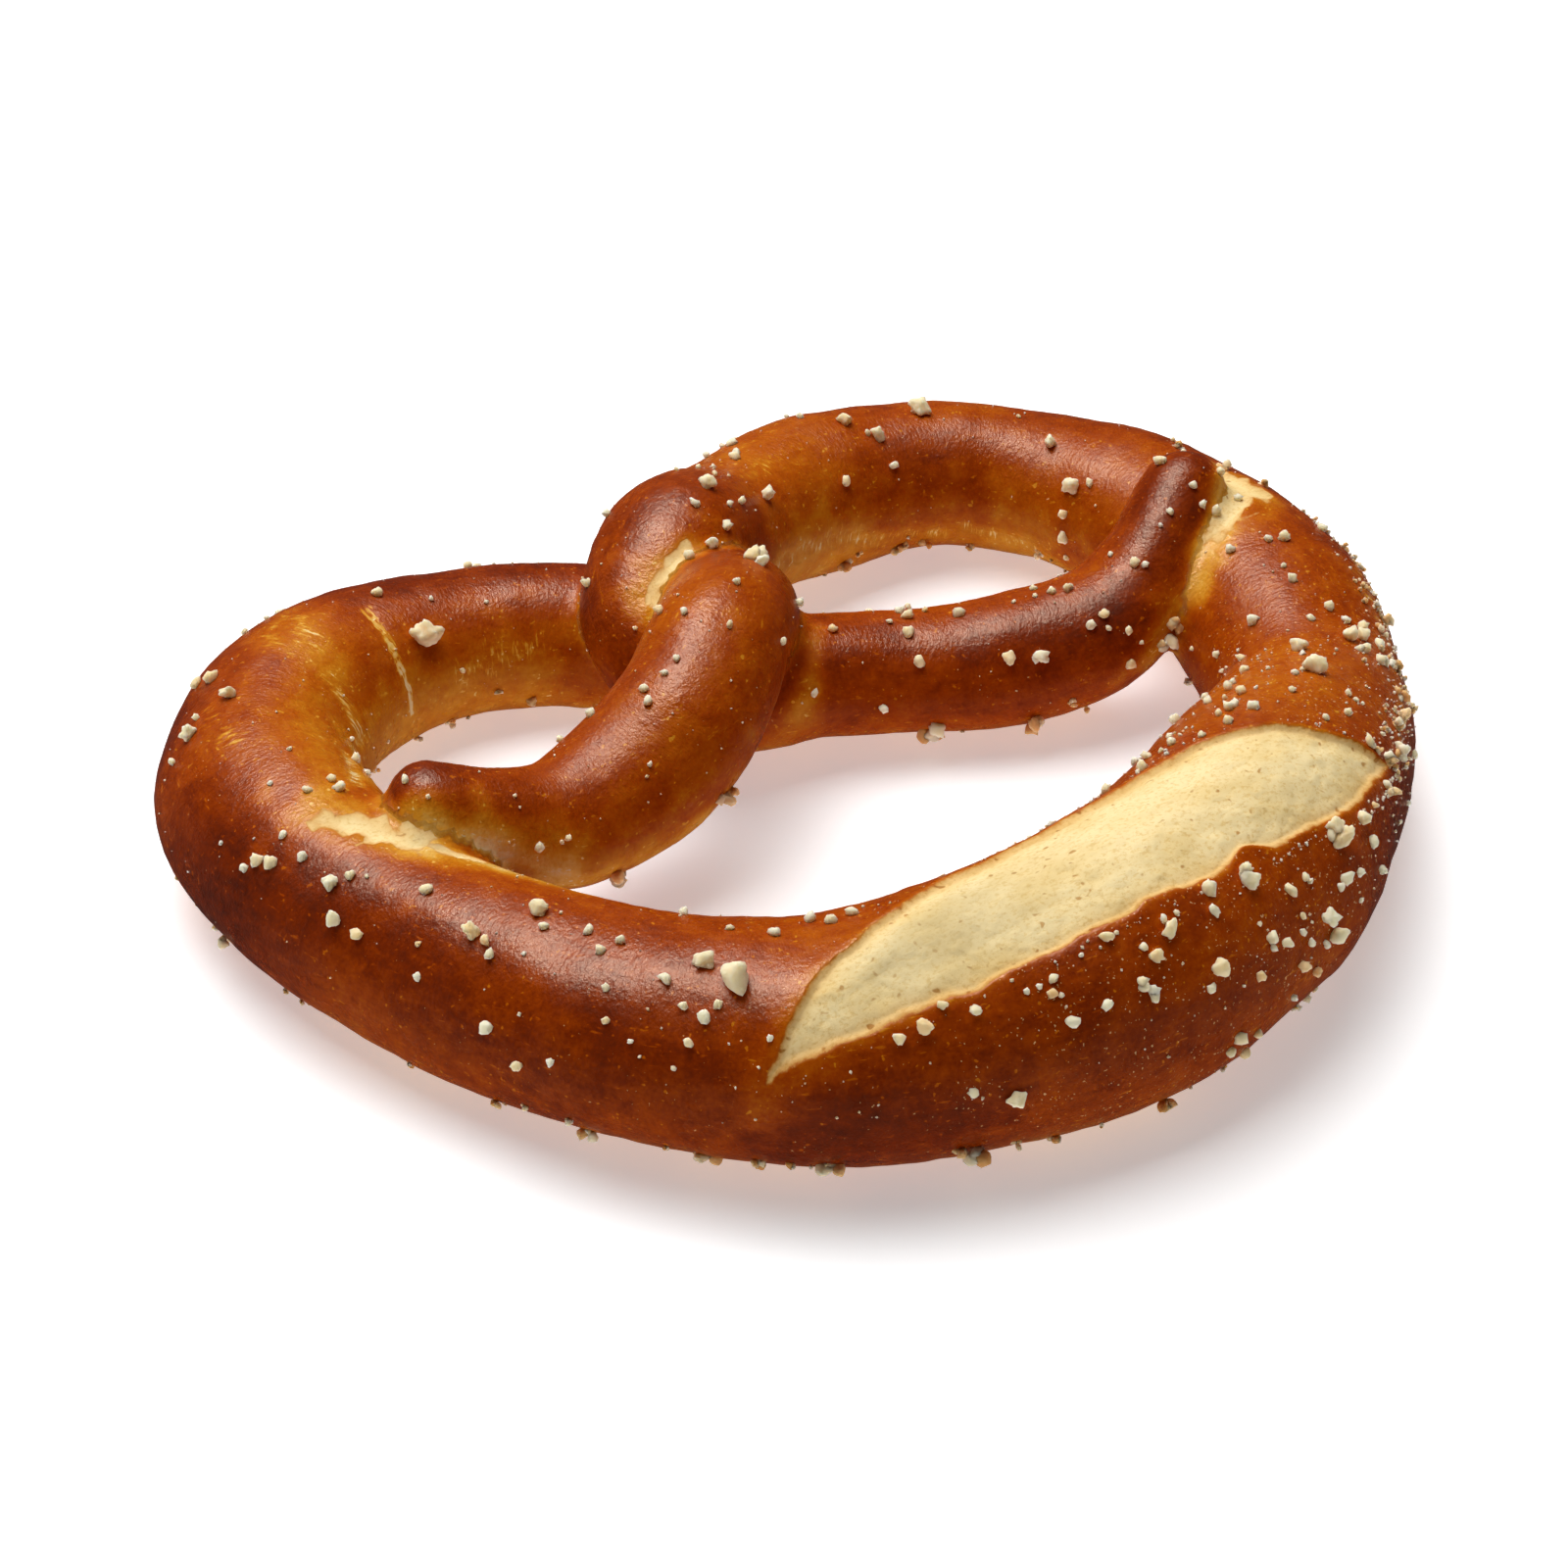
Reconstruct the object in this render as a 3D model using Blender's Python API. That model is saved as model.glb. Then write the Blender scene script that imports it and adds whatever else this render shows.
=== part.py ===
"""A soft lye pretzel: one hand-rolled rope of dough, thick in the middle and thin at its ends.

The rope lies on the tray as a heart-shaped ring. Its two ends hook round each other at the back, come forward as
arms and are pressed onto the ring at the left and the right. Baking melts the touching skins into one another, so
the pretzel is a single solid. The thick front of the ring, the belly, is slit before baking and opens there.

Frame: metres, +Z up, +X to the right, +Y from the belly to the twist. The origin is on the tray, under the middle
of the pretzel. Lengths below are in millimetres until the mesh is made.
"""

import bpy
import bmesh
import numpy as np

MM = 0.001

# Driving dimensions
BELLY_RADIUS = 17.0  # the rope's thickest place, beside the slit
SIDE_RADIUS = 12.6  # where the belly has thinned into the left side
BACK_RADIUS = 10.2  # the ring's back, and the rope as it enters the twist
ARM_RADIUS = 8.6  # the arms, between the twist and the ring
TIP_RADIUS = 5.5  # the pressed-on ends
WIDER_THAN_ROUND = 1.03  # a proved rope sags: it is this much wider than a circle,
LOWER_THAN_ROUND = 0.95  # and this much lower
MIDDLE_HEIGHT = 0.92  # height of a resting stretch's middle, in radii: what would be lower is flattened

# The straight knife cut across the belly, seen from above, which the oven opens into a lens-shaped hollow
SLIT_LEFT = (-45.0, -49.5)
SLIT_RIGHT = (46.0, -45.0)
SLIT_WIDTH = 20.4
SLIT_DEPTH = 1.0
SLIT_TAPER = (2.0, 3.2)  # how full the lens is towards its left and its right end: 2 is a parabola, more is blunter

# How finely the rope is cut up
RINGS = 134
SIDES = 30
TIP_RINGS = 4

TRAY_SIZE = 240.0  # the block that cuts the base flat: more than the pretzel's width

# Stations along the middle of the rope, from the left end to the right end. Each is across, back, radius, and how
# far the stretch is lifted off the tray by what it lies on. The baker lays the rope by hand, so no rule gives them.
LEFT_ARM = [
    (-53.0, 10.8, TIP_RADIUS, 16.8),
    (-45.5, 8.6, 6.2, 12.2),
    (-37.5, 8.0, 8.0, 7.2),
    (-27.0, 9.4, 9.4, 6.6),
    (-15.5, 12.5, 9.0, 12.0),
]
LEFT_HOOK = [
    (-6.5, 20.0, ARM_RADIUS, 15.5),
    (-0.5, 28.0, ARM_RADIUS, 11.5),
    (1.5, 35.0, ARM_RADIUS, 5.0),
    (-4.5, 42.5, 9.0, 0.5),
]
LEFT_LOOP = [
    (-15.5, 50.5, 9.2, 0.5),
    (-41.0, 54.0, 11.2, 0.0),
    (-63.0, 35.5, SIDE_RADIUS, 0.3),
    (-65.5, 20.0, SIDE_RADIUS, 0.5),
    (-62.0, 2.2, 12.4, 0.5),
]
BELLY = [
    (-30.4, -42.6, 14.8, 0.0),
    (6.0, -49.0, BELLY_RADIUS, -0.4),
    (41.2, -32.7, 15.0, 0.0),
]
RIGHT_LOOP = [
    (56.0, -19.6, 12.0, 0.3),
    (63.4, -2.0, 12.7, 0.4),
    (66.0, 27.0, 11.0, 0.3),
    (53.0, 50.5, BACK_RADIUS, 0.3),
    (27.0, 55.5, 10.6, 1.5),
]
RIGHT_HOOK = [
    (13.0, 50.0, BACK_RADIUS, 5.5),
    (-0.5, 41.5, 9.3, 12.5),
    (-8.5, 33.5, ARM_RADIUS, 9.0),
    (-4.5, 25.5, ARM_RADIUS, 3.6),
]
RIGHT_ARM = [
    (8.5, 22.7, 8.2, 2.2),
    (32.5, 12.0, ARM_RADIUS, 1.7),
    (44.0, 8.0, 8.2, 5.2),
    (52.5, 10.0, 6.5, 11.5),
    (61.0, 15.0, TIP_RADIUS, 18.2),
]
STATIONS = LEFT_ARM + LEFT_HOOK + LEFT_LOOP + BELLY + RIGHT_LOOP + RIGHT_HOOK + RIGHT_ARM

CRUST_COLOUR = (0.30, 0.08, 0.02, 1.0)
CRUST_ROUGHNESS = 0.35


def clear_scene():
    for obj in list(bpy.data.objects):
        bpy.data.objects.remove(obj)


def smooth_curve(points, count):
    """Cubic Hermite curve through the points, as count points evenly spaced by chord length.

    A point's slope is the average of its two chords' slopes, each weighted by the other chord's length.
    """
    chord = np.linalg.norm(np.diff(points[:, :3], axis=0), axis=1)
    at = np.concatenate([[0.0], np.cumsum(chord)])
    chord = chord[:, None]
    rise = np.diff(points, axis=0) / chord
    slope = np.empty_like(points)
    slope[1:-1] = (rise[:-1] * chord[1:] + rise[1:] * chord[:-1]) / (chord[1:] + chord[:-1])
    slope[0], slope[-1] = rise[0], rise[-1]
    along = np.linspace(0.0, at[-1], count)
    i = np.clip(np.searchsorted(at, along, side="right") - 1, 0, len(chord) - 1)
    t = ((along - at[i]) / chord[i, 0])[:, None]
    return (
        (2 * t**3 - 3 * t**2 + 1) * points[i]
        + (t**3 - 2 * t**2 + t) * chord[i] * slope[i]
        + (3 * t**2 - 2 * t**3) * points[i + 1]
        + (t**3 - t**2) * chord[i] * slope[i + 1]
    )


def rope_line():
    """The rope's middle line with its radius, as (middle points, radii)."""
    across, back, radius, lift = np.array(STATIONS).T
    height = MIDDLE_HEIGHT * radius + lift
    curve = smooth_curve(np.stack([across, back, height, radius], axis=1), RINGS)
    return curve[:, :3], curve[:, 3]


def with_round_ends(middle, radius):
    """Adds the rings of a quarter circle at each end, so that the rope ends in a rounded tip."""
    turn = np.linspace(0.0, np.pi / 2, TIP_RINGS + 1, endpoint=False)[1:]
    for end, beside in ((0, 1), (-1, -2)):
        outward = middle[end] - middle[beside]
        outward /= np.linalg.norm(outward)
        reach = radius[end] * np.sin(turn)
        tip_middle = middle[end] + reach[:, None] * outward
        tip_radius = radius[end] * np.cos(turn)
        if end == 0:
            middle = np.concatenate([tip_middle[::-1], middle])
            radius = np.concatenate([tip_radius[::-1], radius])
        else:
            middle = np.concatenate([middle, tip_middle])
            radius = np.concatenate([radius, tip_radius])
    return middle, radius


def slit_hollow(points):
    """How deep the opened slit is at each point: a lens round the cut, deepest along its middle."""
    left, right = np.array(SLIT_LEFT), np.array(SLIT_RIGHT)
    half_length = np.linalg.norm(right - left) / 2
    ahead = (right - left) / (2 * half_length)
    from_middle = points[..., :2] - (left + right) / 2
    share = from_middle @ ahead / half_length
    aside = from_middle @ (-ahead[1], ahead[0])
    taper = np.where(share < 0, *SLIT_TAPER)
    half_width = SLIT_WIDTH / 2 * np.clip(1.0 - np.abs(share) ** taper, 1e-6, 1.0)
    return SLIT_DEPTH * np.sqrt(np.clip(1.0 - (aside / half_width) ** 2, 0.0, 1.0))


def rope_surface():
    """The rope's skin as rings of points, and the point that closes each end."""
    middle, radius = with_round_ends(*rope_line())
    forward = np.gradient(middle, axis=0)
    forward /= np.linalg.norm(forward, axis=1)[:, None]
    sideways = np.cross(forward, (0.0, 0.0, 1.0))
    sideways /= np.linalg.norm(sideways, axis=1)[:, None]
    upward = np.cross(sideways, forward)
    angle = np.linspace(0.0, 2 * np.pi, SIDES, endpoint=False)[None, :, None]
    outward = (
        WIDER_THAN_ROUND * np.cos(angle) * sideways[:, None, :] + LOWER_THAN_ROUND * np.sin(angle) * upward[:, None, :]
    )
    rings = middle[:, None, :] + radius[:, None, None] * outward
    on_top = np.sin(angle) > 0
    rings -= np.where(on_top, slit_hollow(rings)[..., None], 0.0) * outward
    poles = np.stack([middle[0] - forward[0] * radius[0] / 4, middle[-1] + forward[-1] * radius[-1] / 4])
    return rings, poles


def rope_mesh():
    """The rings joined into a closed tube. It still passes through itself wherever the dough touches."""
    rings, poles = rope_surface()
    count = len(rings)
    points = np.concatenate([rings.reshape(-1, 3), poles]) * MM
    ring, side = np.meshgrid(np.arange(count - 1), np.arange(SIDES), indexing="ij")
    after = (side + 1) % SIDES
    quads = np.stack(
        [ring * SIDES + side, (ring + 1) * SIDES + side, (ring + 1) * SIDES + after, ring * SIDES + after], axis=-1
    )
    side = np.arange(SIDES)
    after = (side + 1) % SIDES
    last = (count - 1) * SIDES
    left_end = np.stack([side, after, np.full(SIDES, count * SIDES)], axis=-1)
    right_end = np.stack([last + after, last + side, np.full(SIDES, count * SIDES + 1)], axis=-1)
    faces = quads.reshape(-1, 4).tolist() + left_end.tolist() + right_end.tolist()
    mesh = bpy.data.meshes.new("pretzel")
    mesh.from_pydata(points.tolist(), [], faces)
    shell = bmesh.new()
    shell.from_mesh(mesh)
    bmesh.ops.recalc_face_normals(shell, faces=shell.faces)
    shell.to_mesh(mesh)
    shell.free()
    return mesh


def helper(name, mesh_operator, **sizes):
    """A mesh that a Boolean uses, which is not part of the pretzel."""
    mesh_operator(**sizes)
    made = bpy.context.object
    made.name = name
    made.hide_render = True
    made.display_type = "WIRE"
    return made


def boolean(target, name, operation, other):
    step = target.modifiers.new(name, "BOOLEAN")
    step.operation = operation
    step.solver = "EXACT"
    step.object = other
    return step


def melt_together(rope):
    """Joins the rope to itself wherever it crosses, so that the touching skins become one.

    The solver is told that the rope crosses itself, so joining anything to it resolves every crossing. What it
    joins is a small seed inside the belly, which leaves no trace.
    """
    across, back, radius, _ = BELLY[1]
    seed = helper("seed", bpy.ops.mesh.primitive_ico_sphere_add, radius=radius / 4 * MM)
    seed.location = (across * MM, back * MM, radius * MM)
    boolean(rope, "melt_together", "UNION", seed).use_self = True


def flatten_base(rope):
    """Cuts the rope off at the tray's surface: the flat, pale strip that every pretzel bakes on."""
    tray = helper("tray", bpy.ops.mesh.primitive_cube_add, size=TRAY_SIZE * MM)
    tray.location = (0.0, 0.0, -TRAY_SIZE / 2 * MM)
    boolean(rope, "flatten_base", "DIFFERENCE", tray)


def crust_material():
    material = bpy.data.materials.new("lye_crust")
    material.use_nodes = True
    surface = material.node_tree.nodes["Principled BSDF"]
    surface.inputs["Base Color"].default_value = CRUST_COLOUR
    surface.inputs["Roughness"].default_value = CRUST_ROUGHNESS
    surface.inputs["Metallic"].default_value = 0.0
    return material


def make_pretzel():
    pretzel = bpy.data.objects.new("pretzel", rope_mesh())
    bpy.context.scene.collection.objects.link(pretzel)
    pretzel.data.materials.append(crust_material())
    pretzel.data.shade_smooth()
    melt_together(pretzel)
    flatten_base(pretzel)
    return pretzel


clear_scene()
make_pretzel()
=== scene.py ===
# %% [markdown]
# # A soft lye pretzel
#
# A pretzel is one rope of dough. The baker rolls it thick in the middle and thin at its ends, lays it as a
# ring, hooks the ends round each other and presses them onto the ring. Then it is dipped in lye, salted,
# slit across the belly and baked. This lesson follows the same order: roll the rope, melt its crossings
# into one skin, open the slit, brown the crust, and scatter the salt.
#
# The frame holds the solid that the physics uses. It is loaded first, and the visible pretzel is built
# round the same rope, so that it lies exactly where the solid does.

# %% Load the frame
import math

import bmesh
import bpy
import numpy as np
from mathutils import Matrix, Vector


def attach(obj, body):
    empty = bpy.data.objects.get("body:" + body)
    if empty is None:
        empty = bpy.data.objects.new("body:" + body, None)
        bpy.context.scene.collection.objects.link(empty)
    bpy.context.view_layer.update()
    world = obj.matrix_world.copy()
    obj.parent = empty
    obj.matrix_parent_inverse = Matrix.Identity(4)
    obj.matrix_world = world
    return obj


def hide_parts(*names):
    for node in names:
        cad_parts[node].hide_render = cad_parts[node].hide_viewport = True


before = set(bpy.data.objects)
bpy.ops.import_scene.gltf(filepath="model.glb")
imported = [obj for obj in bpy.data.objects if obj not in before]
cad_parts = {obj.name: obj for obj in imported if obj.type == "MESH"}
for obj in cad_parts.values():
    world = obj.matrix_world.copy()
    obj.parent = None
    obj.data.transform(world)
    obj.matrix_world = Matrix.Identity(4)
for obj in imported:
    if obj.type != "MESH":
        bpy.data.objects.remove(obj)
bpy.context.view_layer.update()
MM = 0.001
print("nodes in the frame:", len(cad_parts))

# %% [markdown]
# ## The rope's path
#
# No rule gives the path: hands laid it. So it is a short list of stations, with a smooth curve through
# them. Each station says where the middle of the rope is from above, how thick the rope is there, and how
# far it is lifted off the tray by the dough under it. A stretch that rests on the tray needs no height of
# its own, because its thickness gives it. All of this is in millimetres until a mesh is made.

# %% Stations from the left end to the right end: across, back, radius, lift
BELLY_RADIUS, SIDE_RADIUS, BACK_RADIUS, ARM_RADIUS, TIP_RADIUS = 17.0, 12.6, 10.2, 8.6, 5.5
MIDDLE_HEIGHT = 0.92  # of a resting stretch, in radii: what would be lower is flattened on the tray
LEFT_ARM = [
    (-53.0, 10.8, TIP_RADIUS, 16.8),
    (-45.5, 8.6, 6.2, 12.2),
    (-37.5, 8.0, 8.0, 7.2),
    (-27.0, 9.4, 9.4, 6.6),
    (-15.5, 12.5, 9.0, 12.0),
]
LEFT_HOOK = [
    (-6.5, 20.0, ARM_RADIUS, 15.5),
    (-0.5, 28.0, ARM_RADIUS, 11.5),
    (1.5, 35.0, ARM_RADIUS, 5.0),
    (-4.5, 42.5, 9.0, 0.5),
]
LEFT_LOOP = [
    (-15.5, 50.5, 9.2, 0.5),
    (-41.0, 54.0, 11.2, 0.0),
    (-63.0, 35.5, SIDE_RADIUS, 0.3),
    (-65.5, 20.0, SIDE_RADIUS, 0.5),
    (-62.0, 2.2, 12.4, 0.5),
]
BELLY = [
    (-30.4, -42.6, 14.8, 0.0),
    (6.0, -49.0, BELLY_RADIUS, -0.4),
    (41.2, -32.7, 15.0, 0.0),
]
RIGHT_LOOP = [
    (56.0, -19.6, 12.0, 0.3),
    (63.4, -2.0, 12.7, 0.4),
    (66.0, 27.0, 11.0, 0.3),
    (53.0, 50.5, BACK_RADIUS, 0.3),
    (27.0, 55.5, 10.6, 1.5),
]
RIGHT_HOOK = [
    (13.0, 50.0, BACK_RADIUS, 5.5),
    (-0.5, 41.5, 9.3, 12.5),
    (-8.5, 33.5, ARM_RADIUS, 9.0),
    (-4.5, 25.5, ARM_RADIUS, 3.6),
]
RIGHT_ARM = [
    (8.5, 22.7, 8.2, 2.2),
    (32.5, 12.0, ARM_RADIUS, 1.7),
    (44.0, 8.0, 8.2, 5.2),
    (52.5, 10.0, 6.5, 11.5),
    (61.0, 15.0, TIP_RADIUS, 18.2),
]
STATIONS = LEFT_ARM + LEFT_HOOK + LEFT_LOOP + BELLY + RIGHT_LOOP + RIGHT_HOOK + RIGHT_ARM


def smooth_curve(points, count):
    """Cubic Hermite curve through the points, evenly spaced by chord length.

    A point's slope is the average of its two chords' slopes, each weighted by the other chord's length.
    """
    chord = np.linalg.norm(np.diff(points[:, :3], axis=0), axis=1)
    at = np.concatenate([[0.0], np.cumsum(chord)])
    chord = chord[:, None]
    rise = np.diff(points, axis=0) / chord
    slope = np.empty_like(points)
    slope[1:-1] = (rise[:-1] * chord[1:] + rise[1:] * chord[:-1]) / (chord[1:] + chord[:-1])
    slope[0], slope[-1] = rise[0], rise[-1]
    along = np.linspace(0.0, at[-1], count)
    i = np.clip(np.searchsorted(at, along, side="right") - 1, 0, len(chord) - 1)
    t = ((along - at[i]) / chord[i, 0])[:, None]
    curve = (
        (2 * t**3 - 3 * t**2 + 1) * points[i]
        + (t**3 - 2 * t**2 + t) * chord[i] * slope[i]
        + (3 * t**2 - 2 * t**3) * points[i + 1]
        + (t**3 - t**2) * chord[i] * slope[i + 1]
    )
    return curve, along


ROPE_SAMPLES = 640
across, back, radius, lift = np.array(STATIONS).T
stations = np.stack([across, back, MIDDLE_HEIGHT * radius + lift, radius], axis=1)
curve, ALONG = smooth_curve(stations, ROPE_SAMPLES)
MIDDLE, RADIUS = curve[:, :3], curve[:, 3]
print(f"the rope is {ALONG[-1]:.0f} mm long and {2 * RADIUS.min():.0f} to {2 * RADIUS.max():.0f} mm thick")

# %% [markdown]
# ## Rolling the rope
#
# A rope is a profile carried along a path. At each place the profile stands square to the path: one of its
# axes is level, the other leans with the rope. Proved dough sags under its own weight, so the profile is a
# little wider than high. At the two ends the rings shrink as a quarter circle, which closes the rope in a
# rounded tip.

# %% Rope surface
WIDER, LOWER = 1.03, 0.95  # than a circle of the rope's radius
ROPE_SIDES = 72
END_RINGS, END_SHARE = 8, 0.98  # the last ring stops just short of a point


def rope_axes(middle):
    """Along the rope; level and square to it; and square to both, so upward."""
    forward = np.gradient(middle, axis=0)
    forward /= np.linalg.norm(forward, axis=1)[:, None]
    sideways = np.cross(forward, (0.0, 0.0, 1.0))
    sideways /= np.linalg.norm(sideways, axis=1)[:, None]
    return forward, sideways, np.cross(sideways, forward)


def rounded_ends(middle, radius):
    """Adds rings past each end: moved out by the sine, and shrunk by the cosine, of 0 to 90 degrees."""
    turn = np.linspace(0.0, np.pi / 2, END_RINGS + 1)[1:] * END_SHARE
    first = (middle[0] - middle[1]) / np.linalg.norm(middle[0] - middle[1])
    last = (middle[-1] - middle[-2]) / np.linalg.norm(middle[-1] - middle[-2])
    before = middle[0] + (radius[0] * np.sin(turn))[::-1, None] * first
    after = middle[-1] + (radius[-1] * np.sin(turn))[:, None] * last
    radii = np.concatenate([radius[0] * np.cos(turn)[::-1], radius, radius[-1] * np.cos(turn)])
    return np.concatenate([before, middle, after]), radii


def rope_surface():
    """Point (ring, side): middle + radius times (WIDER cosine sideways + LOWER sine upward)."""
    middle, radius = rounded_ends(MIDDLE, RADIUS)
    _, sideways, upward = rope_axes(middle)
    angle = np.linspace(0.0, 2 * np.pi, ROPE_SIDES, endpoint=False)[None, :, None]
    outward = WIDER * np.cos(angle) * sideways[:, None] + LOWER * np.sin(angle) * upward[:, None]
    return middle[:, None] + radius[:, None, None] * outward


def tube_faces(rings, sides):
    """Quads between neighbouring rings, and one face that closes each end."""
    ring, side = np.meshgrid(np.arange(rings - 1), np.arange(sides), indexing="ij")
    here = ring * sides + side
    beside = ring * sides + (side + 1) % sides
    quads = np.stack([here, beside, beside + sides, here + sides])
    ends = [list(range(sides))[::-1], list(range((rings - 1) * sides, rings * sides))]
    return quads.reshape(4, -1).T.tolist() + ends


def make_object(name, points, faces):
    """A mesh object of these points, which are in millimetres, at the origin."""
    mesh = bpy.data.meshes.new(name)
    mesh.from_pydata((np.asarray(points) * MM).tolist(), [], faces)
    made = bpy.data.objects.new(name, mesh)
    bpy.context.scene.collection.objects.link(made)
    return made


rope = rope_surface()
dough = make_object("dough", rope.reshape(-1, 3), tube_faces(*rope.shape[:2]))
print(f"the rolled rope has {len(dough.data.polygons)} faces, and still passes through itself")

# %% [markdown]
# ## Melting the crossings together
#
# Where raw dough touches, it bakes into one skin. A voxel remesh does the same: it fills space with small
# cells, keeps those inside the rope, and wraps one new skin round them, so nothing hidden is left where the
# rope crosses itself. Its faces are all about one size, so the seams can be softened evenly later.

# %% One skin
VOXEL = 0.92  # mm
remesh = dough.modifiers.new("remesh", "REMESH")
remesh.mode, remesh.voxel_size = "VOXEL", VOXEL * MM
one_skin = dough.evaluated_get(bpy.context.evaluated_depsgraph_get())
dough.data = bpy.data.meshes.new_from_object(one_skin)
dough.modifiers.clear()
print(f"one skin of {len(dough.data.vertices)} points")

# %% [markdown]
# ## Where on the rope is each point?
#
# The new skin no longer knows which ring it came from, but the crust has to: its streaks run along the
# rope, and its wrinkles across. So each point looks for the nearest part of the rope, measured in rope
# radii, because a point of the skin lies one radius from the strand it belongs to. That gives its distance
# along the rope and its angle round it. The second nearest strand gives the distance to the seam where two
# strands meet.

# %% Rope coordinates of any points
FORWARD, SIDEWAYS, UPWARD = rope_axes(MIDDLE)
BLOCK = 6000  # how many points are compared with the whole rope at once
OTHER_RADII, OTHER_MORE = 2.4, 8.0  # another strand is so many radii and mm more along the rope


def rope_place(points):
    """(along, angle, radius, gap): millimetres along the rope, radians round it from its level axis, its
    radius there, and how far the point is from the skin of any other strand."""
    owner, gap = np.empty(len(points), int), np.empty(len(points))
    for first in range(0, len(points), BLOCK):
        block = slice(first, first + BLOCK)
        distance = np.linalg.norm(points[block, None] - MIDDLE[None], axis=2)
        owner[block] = np.argmin(distance / RADIUS, axis=1)
        apart = np.abs(ALONG[owner[block], None] - ALONG[None])
        other_strand = apart > OTHER_RADII * (RADIUS[owner[block], None] + RADIUS[None]) / 2 + OTHER_MORE
        gap[block] = np.where(other_strand, distance - RADIUS, np.inf).min(axis=1)
    off = points - MIDDLE[owner]
    along = ALONG[owner] + np.einsum("ij,ij->i", off, FORWARD[owner])
    level = np.einsum("ij,ij->i", off, SIDEWAYS[owner]) / WIDER
    high = np.einsum("ij,ij->i", off, UPWARD[owner]) / LOWER
    return along, np.arctan2(high, level), RADIUS[owner], np.maximum(gap, 0.0)


print(f"each point will be compared with {len(MIDDLE)} places along the rope")

# %% [markdown]
# ## The slit
#
# Just before baking, the belly gets one straight cut, and the oven opens it into a lens. Seen from above,
# the lens is fullest a little right of its middle and runs out to a fine point at the left. Half its width
# at each place is SLIT_WIDTH / 2 times one minus a power of the distance from its middle. The torn edge
# wanders a little, so small random waves are added, and at one place a nub of crust stands into it.
#
# Many places below need a random wave that is smooth in every direction. It adds up cosine waves of about one
# wavelength that run in random directions, as ripples on a pond do. A surface mostly needs a few such waves,
# each a row: how high it is, how long, and the seed of its directions.

# %% Random waves, and the distance inside the slit
SLIT_LEFT, SLIT_RIGHT, SLIT_WIDTH = (-45.0, -49.5), (46.0, -45.0), 20.4
SLIT_TAPER = (2.0, 3.2)  # how full the lens is towards its left and its right end
EDGE_SLOPE = 2.2  # how fast the lens's edge turns in towards its ends
EDGE_WAVES = [(0.18, 7.0, 11), (0.06, 2.5, 12)]
SLIT_NUB, NUB_DEPTH, NUB_WIDTH = (17.0, -56.0), 2.2, 2.0
FAR = 20.0  # distances from an edge are counted no further than this


def waves(points, wavelength, seed, count=48):
    """A smooth random field of about unit size: the sum of cosines over the root of half their number."""
    draw = np.random.default_rng(seed)
    direction = draw.normal(size=(3, count))
    lengths = wavelength * draw.uniform(0.7, 1.4, count)
    direction *= 2 * np.pi / (lengths * np.linalg.norm(direction, axis=0))
    return np.cos(points @ direction + draw.uniform(0.0, 2 * np.pi, count)).sum(axis=1) / np.sqrt(count / 2)


def layered(points, rows):
    """The sum of the rows' waves, each as high as its row says."""
    return sum(high * waves(points, wavelength, seed) for high, wavelength, seed in rows)


def near(value, wanted, width):
    """A bell, 1 at the wanted value: e to the minus (distance from it / width) squared."""
    return np.exp(-(((value - wanted) / width) ** 2))


def inside_slit(points, angle):
    """Millimetres inside the slit's edge, negative outside it, and the share of the way to its right end."""
    left, right = np.array(SLIT_LEFT), np.array(SLIT_RIGHT)
    half_length = np.linalg.norm(right - left) / 2
    ahead = (right - left) / (2 * half_length)
    from_middle = points[:, :2] - (left + right) / 2
    share = from_middle @ ahead / half_length
    aside = np.abs(from_middle @ (-ahead[1], ahead[0]))
    taper = np.where(share < 0, *SLIT_TAPER)
    half_width = SLIT_WIDTH / 2 * (1.0 - np.abs(share) ** taper)
    slope = EDGE_SLOPE * SLIT_WIDTH / 2 * np.abs(share) ** (taper - 1.0) / half_length
    inside = (half_width - aside) / np.sqrt(1.0 + slope**2) + layered(points, EDGE_WAVES)
    inside -= NUB_DEPTH * near(np.hypot(*(points[:, :2] - SLIT_NUB).T), 0.0, NUB_WIDTH)
    return np.where(np.sin(angle) > 0.0, np.clip(inside, -FAR, FAR), -FAR), (share + 1) / 2


def read_vectors(collection, field, width=3):
    """One field of every element of a mesh as an array with a row each."""
    values = np.empty(len(collection) * width, np.float32 if width == 3 else np.int32)
    collection.foreach_get(field, values)
    return values.reshape(-1, width)


skin = read_vectors(dough.data.vertices, "co").astype(float) / MM
along, angle, radius, gap = rope_place(skin)
slit, _ = inside_slit(skin, angle)
print(f"{(slit > 0).sum()} points lie in the slit, and {(gap < 1).sum()} within 1 mm of a seam")

# %% [markdown]
# The crumb in the slit is finer than the crust, so its faces are cut smaller before it is shaped.

# %% Finer faces in the slit
SLIT_CUTS, SLIT_MARGIN = 2, 1.5
finer = bmesh.new()
finer.from_mesh(dough.data)
finer.edges.ensure_lookup_table()
near_slit = slit > -SLIT_MARGIN
picked = np.flatnonzero(near_slit[read_vectors(dough.data.edges, "vertices", 2)].all(axis=1))
edges = [finer.edges[index] for index in picked]
bmesh.ops.subdivide_edges(finer, edges=edges, cuts=SLIT_CUTS, use_grid_fill=True)
finer.to_mesh(dough.data)
finer.free()
skin = read_vectors(dough.data.vertices, "co").astype(float) / MM
edges = read_vectors(dough.data.edges, "vertices", 2)
along, angle, radius, gap = rope_place(skin)
print(f"{len(skin)} points after the slit's faces are cut into {(SLIT_CUTS + 1) ** 2} each")

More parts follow.
